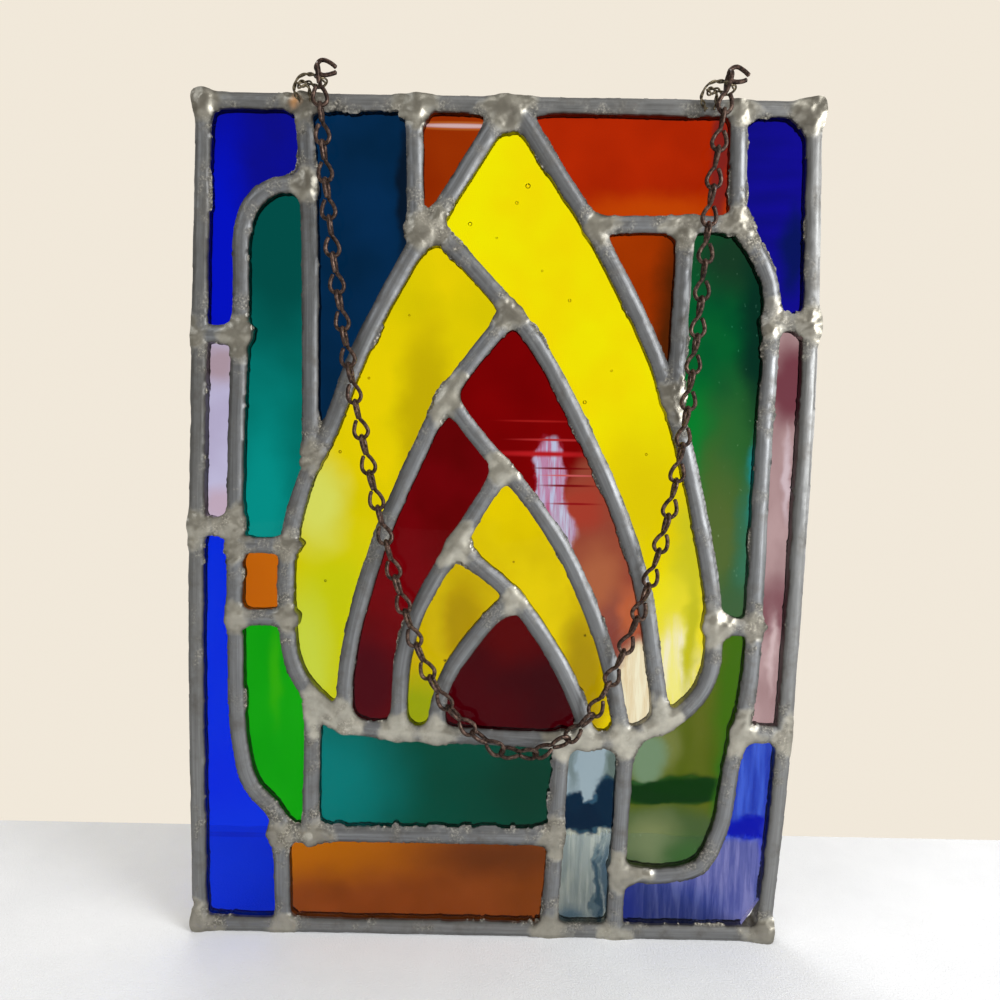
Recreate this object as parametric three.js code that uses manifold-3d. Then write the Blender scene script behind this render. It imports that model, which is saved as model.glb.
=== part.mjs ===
// A leaded glass hanging panel: panes of coloured glass held in the channels of round lead came,
// edged with U came, soldered at every joint, with two wire loops on the top edge and a jack chain
// that hangs in a bow between them, in front of the glass.
// Millimetres. +X is right, +Z is up, and the front of the panel faces -Y. The origin is the middle
// of the top edge, half way through the thickness of the panel.

import * as THREE from "three";
import { mergeVertices } from "three/addons/utils/BufferGeometryUtils.js";
import Module from "manifold-3d";

const wasm = await Module();
wasm.setup();

// ---- Driving dimensions -------------------------------------------------------------------------

const PANEL_HEIGHT = 297;
const GAP = 0.3; // left between neighbouring pieces

const GLASS_THICKNESS = 3;
const CHANNEL = GLASS_THICKNESS + 2 * GAP; // the slot that holds the glass

const CAME_WIDTH = 6.4; // round came, across the strip
const CAME_DEPTH = 6.4; // from the front crown to the back crown
const CROWN_LAND = 2.8; // the flat left on top of a crown by rubbing and handling
const HEART = 1.3; // the web between the two channels

const BORDER_WIDTH = 5.6; // U came round the outside
const BORDER_WALL = 1.2; // its web, which closes the outer edge
const BORDER_SIDE = 4.4; // the flat height of that outer edge

const SOLDER_REACH = 9; // how far solder runs out along a strip from the line that it ends on
const SOLDER_SPREAD = 0.8; // how much wider a strip grows towards that line, as a share
const SOLDER_RISE = 0.35; // and how much deeper

const FACET_TOLERANCE = 0.4; // how far a curved strip's facets may stray from its line

const LOOP_WIRE = 0.9;
const LOOP_STEPS = 14;
const LOOP_STANDOFF = 4.8; // from the middle of the panel to the feet of a wire loop

const CHAIN_WIRE = 1.5;
const CHAIN_PITCH = 12.5;
const CHAIN_EYE = 6.6; // the width of a link's eye, over the wire
const CHAIN_FACET = 0.95; // from the middle of the three-sided wire of a link to its corners
const TIP = 2.2; // the stretch of wire across the tip of an eye
const SHOULDER_DROP = 2.2; // how far the widest place of an eye lies behind its tip
const LINK_BITE = 0.1; // how far two links press into each other
const CHAIN_STANDOFF = 7.8; // from the middle of the panel to the middle of the chain
const CHAIN_ENDS = [
  [-64.6, 6.4],
  [72.9, 6.2],
];

const LEFT_TOP = new THREE.Vector2(-107.6, 0);
const RIGHT_TOP = new THREE.Vector2(106.2, 0);
const RIGHT_BOTTOM = new THREE.Vector2(99.8, -PANEL_HEIGHT);
const LEFT_BOTTOM = new THREE.Vector2(-110.6, -PANEL_HEIGHT);

// ---- Solids and meshes --------------------------------------------------------------------------

const group = new THREE.Group();

function solidOf(geometry) {
  const bare = geometry.clone();
  bare.deleteAttribute("normal");
  bare.deleteAttribute("uv");
  const merged = mergeVertices(bare, 1e-4);
  return new wasm.Manifold(
    new wasm.Mesh({
      numProp: 3,
      vertProperties: merged.attributes.position.array,
      triVerts: new Uint32Array(merged.index.array),
    }),
  );
}

function geometryOf(solid) {
  const mesh = solid.getMesh();
  const geometry = new THREE.BufferGeometry();
  geometry.setAttribute("position", new THREE.BufferAttribute(mesh.vertProperties, 3));
  geometry.setIndex(new THREE.BufferAttribute(mesh.triVerts, 1));
  geometry.computeVertexNormals();
  return geometry;
}

function addMesh(name, solid, material) {
  const mesh = new THREE.Mesh(geometryOf(solid), material);
  mesh.name = name;
  group.add(mesh);
}

// A cut can leave a crumb on the far side of the cutter, which isn't kept.
function largestPiece(solid) {
  return solid.decompose().reduce((best, piece) => (piece.volume() > best.volume() ? piece : best));
}

// ---- Sections of the strips: x runs across a strip, y from the back of the panel to the front ----

function shapeOf(corners) {
  return new THREE.Shape(corners.map(([x, y]) => new THREE.Vector2(x, y)));
}

// Front corners listed from one side to the other, and the same again behind, in mirror image.
function mirrored(frontCorners) {
  return [...frontCorners, ...frontCorners.map(([x, y]) => [x, -y]).reverse()];
}

function roundCame() {
  return shapeOf(
    mirrored([
      [-HEART / 2, CHANNEL / 2],
      [-CAME_WIDTH / 2, CHANNEL / 2],
      [-CROWN_LAND / 2, CAME_DEPTH / 2],
      [CROWN_LAND / 2, CAME_DEPTH / 2],
      [CAME_WIDTH / 2, CHANNEL / 2],
      [HEART / 2, CHANNEL / 2],
    ]),
  );
}

// The border's section starts at its outer edge, x = 0, and runs inwards.
function borderCame() {
  return shapeOf(
    mirrored([
      [0, BORDER_SIDE / 2],
      [1.4, CAME_DEPTH / 2],
      [1.4 + CROWN_LAND, CAME_DEPTH / 2],
      [BORDER_WIDTH, CHANNEL / 2],
      [BORDER_WALL, CHANNEL / 2],
    ]),
  );
}

// A plain bar, for cutting: across the strip from one place to another, and right through the panel.
function slab(from, to) {
  return shapeOf(
    mirrored([
      [from, CAME_DEPTH],
      [to, CAME_DEPTH],
    ]),
  );
}

// ---- Strips laid along lines in the panel -------------------------------------------------------

const FRONT_TO_BACK = new THREE.Vector3(0, 1, 0);

function inPanel([x, z]) {
  return new THREE.Vector3(x, 0, z);
}

// Stations along part of a line, as far apart as its bends allow.
function stationsAlong(line, from, to) {
  const stations = [from];
  const stride = (to - from) / 120;
  for (let u = from + 2 * stride; u < to; u += stride) {
    const last = stations.at(-1);
    const chord = new THREE.Line3(line.getPointAt(last), line.getPointAt(u));
    const middle = line.getPointAt((last + u) / 2);
    const bulge = chord.closestPointToPoint(middle, true, new THREE.Vector3()).distanceTo(middle);
    if (bulge > FACET_TOLERANCE) stations.push(u - stride);
  }
  return [...stations, to];
}

// The line of a strip, with a station where the solder at each end runs out and more on its bends.
class StripLine extends THREE.Curve {
  constructor(points) {
    super();
    const places = points.map(inPanel);
    const straight = places.length === 2;
    this.line = straight ? new THREE.LineCurve3(...places) : new THREE.CatmullRomCurve3(places);
    const length = this.line.getLength();
    this.reach = Math.min(SOLDER_REACH, length / 2);
    const end = this.reach / length;
    this.stations = [0, ...new Set(stationsAlong(this.line, end, 1 - end)), 1];
  }

  get steps() {
    return this.stations.length - 1;
  }

  getPointAt(u) {
    return this.line.getPointAt(this.stations[Math.round(u * this.steps)]);
  }

  computeFrenetFrames() {
    const tangents = this.stations.map((u) => this.line.getTangentAt(u));
    const normals = tangents.map((t) => new THREE.Vector3().crossVectors(FRONT_TO_BACK, t));
    return { tangents, normals, binormals: tangents.map(() => FRONT_TO_BACK) };
  }

  // The point of the line nearest to a place in the panel.
  nearest([x, z]) {
    const place = inPanel([x, z]);
    const samples = this.line.getSpacedPoints(400);
    const best = samples.reduce((a, b) => (b.distanceTo(place) < a.distanceTo(place) ? b : a));
    return [best.x, best.z];
  }
}

function sweep(section, line) {
  return new THREE.ExtrudeGeometry(section, { extrudePath: line, steps: line.steps });
}

// Solder makes a strip wider and deeper towards its ends.
function swellEnds(geometry, line) {
  const ends = [0, 1].map((u) => ({
    place: line.line.getPointAt(u),
    inwards: line.line.getTangentAt(u).multiplyScalar(u ? -1 : 1),
  }));
  const position = geometry.attributes.position;
  const point = new THREE.Vector3();
  for (let i = 0; i < position.count; i += 1) {
    point.fromBufferAttribute(position, i);
    for (const { place, inwards } of ends) {
      const offset = point.clone().sub(place);
      const along = offset.dot(inwards);
      const across = offset.clone().addScaledVector(inwards, -along).setY(0);
      const near = offset.length() < line.reach + CAME_WIDTH;
      const share = near ? THREE.MathUtils.clamp(1 - along / line.reach, 0, 1) : 0;
      const inFlange = Math.abs(point.y) >= CHANNEL / 2 - 1e-6 && across.length() > HEART;
      if (inFlange) point.addScaledVector(across, SOLDER_SPREAD * share);
      if (Math.abs(point.y) > CHANNEL / 2 + 1e-6) point.y *= 1 + SOLDER_RISE * share;
    }
    position.setXYZ(i, point.x, point.y, point.z);
  }
  return geometry;
}

// ---- The leading --------------------------------------------------------------------------------

// Each border strip runs clockwise along the outer edge of the panel.
const BORDERS = [
  ["border_top", [LEFT_TOP.toArray(), RIGHT_TOP.toArray()]],
  ["border_bottom", [RIGHT_BOTTOM.toArray(), LEFT_BOTTOM.toArray()]],
  ["border_right", [RIGHT_TOP.toArray(), [108.2, -85], [107, -152], [103.9, -238], RIGHT_BOTTOM.toArray()]],
  ["border_left", [LEFT_BOTTOM.toArray(), [-111.5, -190], [-110, -95], LEFT_TOP.toArray()]],
];

// Inner strips in the order of leading up. Each one starts and stops on the line of an earlier strip,
// which it butts against, and its points run along its own middle.
const CAMES = [
  ["came_bud_right", "border_top", null, [
    [1, -2], [17.7, -26.6], [30.3, -45.3], [55, -93.7], [69.8, -145.2], [75.7, -180.5], [74.2, -200.7],
    [65.6, -212.8], [45.4, -223.4],
  ]],
  ["came_bud_left", "border_top", null, [
    [-1, -2], [-24.2, -39.3], [-35.3, -56.4], [-50.8, -86.2], [-61.5, -113.9], [-69.9, -131.6], [-75.7, -153.3],
    [-76.7, -178.5], [-73.2, -200.7], [-60.5, -216.8],
  ]],
  ["came_bud_base", "came_bud_left", "came_bud_right", [
    [-60.5, -216.8], [-48.4, -220.9], [-7.1, -223.2], [25.2, -224.2], [45.4, -223.4],
  ]],
  ["came_flame_outer_right", "came_bud_left", "came_bud_right", [
    [-26.2, -43.8], [-9.8, -59.9], [9.3, -81.6], [25.8, -109.9], [41.9, -144.2], [50.4, -170.4], [55, -195.7],
    [58.5, -216.8],
  ]],
  ["came_flame_outer_left", "came_flame_outer_right", "came_bud_base", [
    [1.5, -72.8], [-19.2, -99.8], [-33.3, -128.6], [-43.7, -153.8], [-52, -182.5], [-55.5, -203.7],
    [-55.5, -219.4],
  ]],
  ["came_flame_middle_right", "came_flame_outer_left", "came_bud_base", [
    [-20.2, -102.8], [-7.7, -118.3], [7.6, -135.4], [21.6, -155.3], [31.6, -175.9], [38.8, -195.7],
    [44.4, -222.9],
  ]],
  ["came_flame_middle_left", "came_flame_middle_right", "came_bud_base", [
    [-1, -128.1], [-25.5, -169.4], [-31.8, -183], [-35.3, -198.7], [-36.3, -221.4],
  ]],
  ["came_flame_inner_right", "came_flame_middle_left", "came_bud_base", [
    [-16.6, -154.3], [-9.8, -160.3], [2.6, -170.8], [14.9, -186.4], [22.9, -199.7], [28.3, -211.6],
    [31.8, -223.9],
  ]],
  ["came_flame_inner_left", "came_flame_inner_right", "came_bud_base", [
    [4, -174], [-3, -179.5], [-11.9, -190.6], [-18.7, -201.2], [-22, -211.8], [-22.7, -222.4],
  ]],
  ["came_top_stub", "border_top", "came_bud_left", [[-33.1, -2], [-31.9, -45.3]]],
  ["came_left_upright", "border_top", "came_bud_left", [[-70.9, -2], [-68.8, -45.3], [-68.2, -124]]],
  ["came_right_bar", "came_bud_right", null, [[30.3, -42.3], [81.7, -41.3]]],
  ["came_right_upright", "border_top", "came_right_bar", [[78, -2], [79, -41.3]]],
  ["came_amber_side", "came_right_bar", "came_bud_right", [[61.2, -42.3], [59.3, -101.8]]],
  ["came_clear_left", "came_bud_base", "border_bottom", [[22.7, -223.9], [19.4, -295]]],
  ["came_clear_right", "came_bud_right", "border_bottom", [[45.7, -223.4], [43, -295]]],
  ["came_right_arch", "came_right_bar", "came_clear_right", [
    [79.7, -41.8], [86.2, -51.2], [91.1, -62], [92, -79.6], [90.8, -120], [90, -165.4], [89, -202.7],
    [83.7, -233], [80.2, -256.2], [73.2, -269.8], [60.5, -273.4], [44.4, -272.8],
  ]],
  ["came_foot_bar", null, "came_clear_left", [[-79.7, -260.5], [21.2, -259.9]]],
  ["came_left_arch", "came_left_upright", "came_foot_bar", [
    [-70.1, -29.7], [-81.7, -31.5], [-88.8, -37.2], [-92.1, -46.3], [-92.5, -67.5], [-94.4, -120],
    [-95, -175.5], [-93.2, -227.9], [-89.3, -242.6], [-81.2, -252.2], [-77.7, -259.7],
  ]],
  ["came_foot_stub", "came_foot_bar", "border_bottom", [[-78.5, -260.7], [-77.7, -295]]],
  ["came_teal_left", "came_bud_left", "came_foot_bar", [[-67.1, -211.8], [-67.8, -260.7]]],
  ["came_left_rung_upper", "border_left", "came_left_arch", [[-111, -81.6], [-91.8, -81.6]]],
  ["came_left_rung_lower", "border_left", "came_left_arch", [[-112, -149.2], [-94.8, -149.2]]],
  ["came_square_top", "came_left_arch", "came_bud_left", [[-94.8, -155.6], [-74.7, -155.6]]],
  ["came_square_bottom", "came_left_arch", "came_bud_left", [[-94.8, -181.3], [-76.7, -181.3]]],
  ["came_right_rung_upper", "came_right_arch", "border_right", [[91.8, -74.3], [108, -74.6]]],
  ["came_right_rung_middle", "came_bud_right", "came_right_arch", [[75.7, -181.8], [90.8, -181.8]]],
  ["came_right_rung_lower", "came_right_arch", "border_right", [[86.8, -220.5], [105.9, -220.5]]],
];

const leadMaterial = new THREE.MeshStandardMaterial({ color: 0x85837c, roughness: 0.55, metalness: 0.8 });

const lines = new Map();
const clearances = []; // what later strips are cut back from
const hearts = []; // what the glass is cut back from

function layStrip(name, line, section, clearance, heart) {
  let solid = solidOf(swellEnds(sweep(section, line), line));
  for (const cutter of clearances) solid = solid.subtract(cutter);
  addMesh(name, largestPiece(solid), leadMaterial);
  clearances.push(solidOf(swellEnds(sweep(clearance, line), line)));
  hearts.push(solidOf(sweep(heart, line)));
}

for (const [name, along] of BORDERS) {
  const line = new StripLine(along);
  lines.set(name, line);
  const clearance = slab(-GAP, BORDER_WIDTH + GAP);
  const heart = slab(-BORDER_WIDTH, BORDER_WALL + GAP);
  layStrip(name, line, borderCame(), clearance, heart);
}

for (const [name, from, to, along] of CAMES) {
  const start = from ? lines.get(from).nearest(along[0]) : along[0];
  const stop = to ? lines.get(to).nearest(along.at(-1)) : along.at(-1);
  const line = new StripLine([start, ...along.slice(1, -1), stop]);
  lines.set(name, line);
  const clearance = slab(-CAME_WIDTH / 2 - GAP, CAME_WIDTH / 2 + GAP);
  const heart = slab(-HEART / 2 - GAP, HEART / 2 + GAP);
  layStrip(name, line, roundCame(), clearance, heart);
}

// ---- The glass ----------------------------------------------------------------------------------

// One pane for each opening in the leading, found by a place inside it.
const PANES = [
  ["glass_blue_top_left", [-95, -20], 0x0000a5],
  ["glass_navy_top", [-53, -37], 0x00264e],
  ["glass_red_small_top", [-20, -16], 0x962d05],
  ["glass_red_top", [42, -24], 0xbc3200],
  ["glass_blue_top_right", [93, -28], 0x0c008c],
  ["glass_lilac_left", [-101, -115], 0xbebee1],
  ["glass_teal_left", [-80, -104], 0x006c60],
  ["glass_orange_square", [-85, -168], 0xbe6400],
  ["glass_green_lower_left", [-83, -214], 0x0fa000],
  ["glass_blue_lower_left", [-98, -247], 0x0028e6],
  ["glass_teal_bottom", [-25, -240], 0x005a50],
  ["glass_amber_bottom", [-28, -276], 0xa5550a],
  ["glass_clear_bottom", [33, -253], 0x8ca0aa],
  ["glass_green_lower_right", [67, -245], 0x3c6e28],
  ["glass_violet_lower_right", [87, -270], 0x505ac8],
  ["glass_pink_right", [98, -142], 0xc3a0a5],
  ["glass_green_right", [82, -107], 0x00693c],
  ["glass_amber_small", [52, -60], 0xbe3c00],
  ["glass_yellow_outer_right", [33, -79], 0xf5e100],
  ["glass_yellow_outer_left", [-58, -160], 0xe6d700],
  ["glass_red_right", [20, -138], 0x780000],
  ["glass_red_left", [-30, -146], 0x640000],
  ["glass_yellow_inner_right", [9, -159], 0xe6c800],
  ["glass_yellow_inner_left", [-19, -173], 0xc8b400],
  ["glass_dark_red_centre", [3, -201], 0x4b000a],
];

function sheetOfGlass() {
  const outline = new THREE.Shape([
    LEFT_TOP,
    RIGHT_TOP,
    new THREE.Vector2(RIGHT_TOP.x + CAME_WIDTH, -PANEL_HEIGHT / 2),
    RIGHT_BOTTOM,
    LEFT_BOTTOM,
    new THREE.Vector2(LEFT_BOTTOM.x - CAME_WIDTH, -PANEL_HEIGHT / 2),
  ]);
  const sheet = new THREE.ExtrudeGeometry(outline, { depth: GLASS_THICKNESS, bevelEnabled: false });
  sheet.translate(0, 0, -GLASS_THICKNESS / 2);
  sheet.rotateX(Math.PI / 2);
  return solidOf(sheet);
}

// The lower right-hand corner is broken off along a slanting line.
const BREAK_MIDDLE = [93.5, -285.5];
const BREAK_SIZE = [24, 12];
const BREAK_TURN = 1.0;

function brokenCorner() {
  const chip = new THREE.BoxGeometry(BREAK_SIZE[0], 2 * GLASS_THICKNESS, BREAK_SIZE[1]);
  chip.translate(0, 0, -BREAK_SIZE[1] / 2);
  chip.rotateY(-BREAK_TURN);
  chip.translate(BREAK_MIDDLE[0], 0, BREAK_MIDDLE[1]);
  return solidOf(chip);
}

function probeAt([x, z]) {
  return solidOf(new THREE.BoxGeometry(1, GLASS_THICKNESS, 1).translate(x, 0, z));
}

let cutGlass = sheetOfGlass();
for (const heart of hearts) cutGlass = cutGlass.subtract(heart);
cutGlass = cutGlass.subtract(brokenCorner());
const cutPieces = cutGlass.decompose();

for (const [name, place, color] of PANES) {
  const probe = probeAt(place);
  const piece = cutPieces.find((candidate) => candidate.intersect(probe).volume() > 0.1);
  if (!piece) throw new Error(`no opening in the leading at ${place} for ${name}`);
  const look = { color, roughness: 0.1, transparent: true, opacity: 0.7 };
  addMesh(name, piece, new THREE.MeshStandardMaterial(look));
}

// ---- Wire loops soldered to the top edge --------------------------------------------------------

const wireMaterial = new THREE.MeshStandardMaterial({ color: 0x5a4a32, roughness: 0.5, metalness: 0.7 });

function wireSection(diameter, sides) {
  const radius = diameter / 2;
  const corners = Array.from({ length: sides }, (_, i) => {
    const angle = (2 * Math.PI * (i + 0.5)) / sides;
    return [radius * Math.cos(angle), radius * Math.sin(angle)];
  });
  return shapeOf(corners);
}

// The loop leaves the solder, rises, passes through the top link of the chain, and comes back behind it.
function hangingLoop([x, z]) {
  const route = new THREE.CatmullRomCurve3([
    new THREE.Vector3(x - 8, -LOOP_STANDOFF, z - 10.6),
    new THREE.Vector3(x - 10.3, -LOOP_STANDOFF - 0.4, z - 5.9),
    new THREE.Vector3(x - 7, -LOOP_STANDOFF - 1.6, z - 1.4),
    new THREE.Vector3(x - 3, -LOOP_STANDOFF - 2.4, z - 1.6),
    new THREE.Vector3(x, -CHAIN_STANDOFF, z - 3.5),
    new THREE.Vector3(x + 3.2, -LOOP_STANDOFF - 0.9, z - 3.6),
    new THREE.Vector3(x + 0.5, -LOOP_STANDOFF - 0.1, z - 5.6),
    new THREE.Vector3(x - 5, -LOOP_STANDOFF, z - 9.2),
  ]);
  const section = wireSection(LOOP_WIRE, 4);
  return solidOf(new THREE.ExtrudeGeometry(section, { extrudePath: route, steps: LOOP_STEPS }));
}

addMesh("hanging_loop_left", hangingLoop(CHAIN_ENDS[0]), wireMaterial);
addMesh("hanging_loop_right", hangingLoop(CHAIN_ENDS[1]), wireMaterial);

// ---- The chain ----------------------------------------------------------------------------------

const chainMaterial = new THREE.MeshStandardMaterial({ color: 0x4e3328, roughness: 0.6, metalness: 0.7 });

// The bow of the chain, from the left-hand loop to the right-hand one.
const CHAIN_ROUTE = [
  CHAIN_ENDS[0],
  [-61.5, -34],
  [-56.5, -75],
  [-46, -130],
  [-29, -190],
  [-17, -212],
  [6, -228],
  [28, -218],
  [42, -192],
  [57, -142],
  [64.5, -84],
  [68.5, -30],
  CHAIN_ENDS[1],
];
// Beyond each loop one eye of a cut link is left over, hanging to the right.
const LOOSE_EYE = new THREE.Vector3(0.97, 0, -0.2).multiplyScalar(CHAIN_PITCH);
// The links lie the same way on both legs, so the chain has a quarter of a turn in it, at the bottom.
const TWIST_FROM = 0.42;
const TWIST_TO = 0.62;

function inChain([x, z]) {
  return new THREE.Vector3(x, -CHAIN_STANDOFF, z);
}

// The wire of one link, bent into two eyes at right angles, with both its ends at the waist.
class LinkWire extends THREE.Curve {
  constructor(pitch, eyes) {
    super();
    const half = (pitch - LINK_BITE) / 2 + CHAIN_FACET / 2;
    const side = (CHAIN_EYE - CHAIN_WIRE) / 2 - CHAIN_FACET / 4;
    const shoulder = half - SHOULDER_DROP;
    const firstEye = [
      [-0.5, 0, 1.1],
      [-shoulder, 0, side],
      [-half, 0, TIP / 2],
      [-half, 0, -TIP / 2],
      [-shoulder, 0, -side],
    ];
    const waist = [[0, 0.4, -0.4]];
    const secondEye = [
      [shoulder, side, 0],
      [half, TIP / 2, 0],
      [half, -TIP / 2, 0],
      [shoulder, -side, 0],
      [0.5, -1.1, 0],
    ];
    const chosen = {
      first: [...firstEye, ...waist],
      second: [...waist, ...secondEye],
      both: [...firstEye, ...waist, ...secondEye],
    }[eyes];
    this.points = chosen.map((p) => new THREE.Vector3(...p));
  }

  get steps() {
    return this.points.length - 1;
  }

  getPointAt(u) {
    return this.points[Math.round(u * this.steps)].clone();
  }

  // One side of the wire faces into the eye all the way round, and every bend is mitred.
  computeFrenetFrames() {
    const runs = this.points.slice(1).map((point, i) => point.clone().sub(this.points[i]).normalize());
    const runAfter = (i) => runs[Math.min(i, runs.length - 1)];
    const runBefore = (i) => runs[Math.max(i - 1, 0)];
    const tangents = this.points.map((_, i) => runBefore(i).clone().add(runAfter(i)).normalize());
    const facings = this.points.map(({ x }) => new THREE.Vector3(0, +(x <= 0), +(x >= 0)).normalize());
    const normals = tangents.map((tangent, i) =>
      new THREE.Vector3().crossVectors(tangent, facings[i]).divideScalar(tangent.dot(runAfter(i))),
    );
    return { tangents, normals, binormals: facings.map((facing) => facing.negate()) };
  }
}

// A link laid from one joint of the chain to the next. Unturned, its first eye stands on edge and its
// second lies flat against the panel.
function linkBetween(start, stop, turn, eyes = "both") {
  const wire = new LinkWire(start.distanceTo(stop), eyes);
  const section = wireSection(2 * CHAIN_FACET, 3);
  const geometry = new THREE.ExtrudeGeometry(section, { extrudePath: wire, steps: wire.steps });
  const along = stop.clone().sub(start).normalize();
  const across = new THREE.Vector3().crossVectors(along, FRONT_TO_BACK).normalize();
  across.applyAxisAngle(along, turn);
  const outwards = new THREE.Vector3().crossVectors(along, across);
  const placed = new THREE.Matrix4().makeBasis(along, across, outwards);
  placed.setPosition(start.clone().add(stop).multiplyScalar(0.5));
  return solidOf(geometry.applyMatrix4(placed));
}

function chain() {
  const route = new THREE.CatmullRomCurve3(CHAIN_ROUTE.map(inChain));
  const count = Math.round(route.getLength() / CHAIN_PITCH);
  const joints = route.getSpacedPoints(count);
  let links = linkBetween(joints[0].clone().add(LOOSE_EYE), joints[0], 0, "second");
  for (let i = 0; i < count; i += 1) {
    const turn = (THREE.MathUtils.smoothstep(i / count, TWIST_FROM, TWIST_TO) * Math.PI) / 2;
    links = links.add(linkBetween(joints[i], joints[i + 1], turn));
  }
  return links.add(linkBetween(joints[count], joints[count].clone().add(LOOSE_EYE), Math.PI / 2, "first"));
}

addMesh("chain", chain(), chainMaterial);

export default group;
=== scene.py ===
# %% [markdown]
# # A leaded glass hanging panel
#
# Panes of coloured glass sit in the channels of lead strips, which glaziers call came. A thin U strip
# runs round the edge and round H strips run between the panes. Where strips meet they are soldered.
# Two wire loops are soldered to the top edge, and a jack chain hangs between them in a bow.
#
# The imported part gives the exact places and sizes. This script dresses it: strips get the soft, lumpy
# skin of lead and solder, panes get wavy glass in their own colours, loops and chain get round wire.

import math

import bmesh
import bpy
import numpy as np
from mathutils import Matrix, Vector
from mathutils.geometry import delaunay_2d_cdt


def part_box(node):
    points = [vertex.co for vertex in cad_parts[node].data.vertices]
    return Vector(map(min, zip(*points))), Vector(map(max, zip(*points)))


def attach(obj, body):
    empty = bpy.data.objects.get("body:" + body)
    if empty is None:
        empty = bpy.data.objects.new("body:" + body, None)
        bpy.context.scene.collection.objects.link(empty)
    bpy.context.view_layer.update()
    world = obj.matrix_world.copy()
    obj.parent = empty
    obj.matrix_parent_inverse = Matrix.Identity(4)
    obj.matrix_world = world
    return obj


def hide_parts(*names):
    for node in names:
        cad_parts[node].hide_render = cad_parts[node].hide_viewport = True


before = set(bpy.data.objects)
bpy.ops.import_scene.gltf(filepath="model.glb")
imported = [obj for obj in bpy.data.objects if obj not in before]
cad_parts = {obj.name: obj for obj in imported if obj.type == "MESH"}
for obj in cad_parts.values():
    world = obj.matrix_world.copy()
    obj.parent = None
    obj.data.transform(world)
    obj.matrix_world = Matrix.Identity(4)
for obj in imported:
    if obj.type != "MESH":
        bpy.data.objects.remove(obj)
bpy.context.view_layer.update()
scene = bpy.context.scene
MM = 0.001
chance = np.random.default_rng(7)

# %% [markdown]
# ## A helper for meshes
#
# Everything here is built from arrays of points and faces. A helper turns them into a Blender object with the
# given finish, hangs it under the root body and hides the node of the part that it stands for.


# %% Turn arrays into a piece
def make_piece(name, points, faces, finish, node):
    """A smooth mesh that stands for one node. Its points are in millimetres."""
    mesh = bpy.data.meshes.new(name)
    mesh.from_pydata((points * MM).tolist(), [], faces)
    mesh.polygons.foreach_set("use_smooth", np.ones(len(faces), bool))
    mesh.materials.append(finish)
    piece = bpy.data.objects.new(name, mesh)
    scene.collection.objects.link(piece)
    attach(piece, "root")
    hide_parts(node)
    return piece


def joined(parts):
    """Several lots of points and faces as one."""
    points, faces, count = [], [], 0
    for some_points, some_faces in parts:
        points.append(some_points)
        faces += [tuple(v + count for v in face) for face in some_faces]
        count += len(some_points)
    return np.vstack(points), faces


def give_numbers(piece, name, values):
    """Stores a number or a vector at every point, for the material to read."""
    kind, field = ("FLOAT_VECTOR", "vector") if values.ndim == 2 else ("FLOAT", "value")
    attribute = piece.data.attributes.new(name, kind, "POINT")
    attribute.data.foreach_set(field, values.astype(np.float32).ravel())


# %% [markdown]
# ## The line of each lead strip
#
# The skin of a strip needs the line that it was bent along. These are the lines of the part's source, in
# millimetres: right, then up. A line is a centripetal Catmull-Rom curve, which passes through every
# point and never loops between them.

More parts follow.
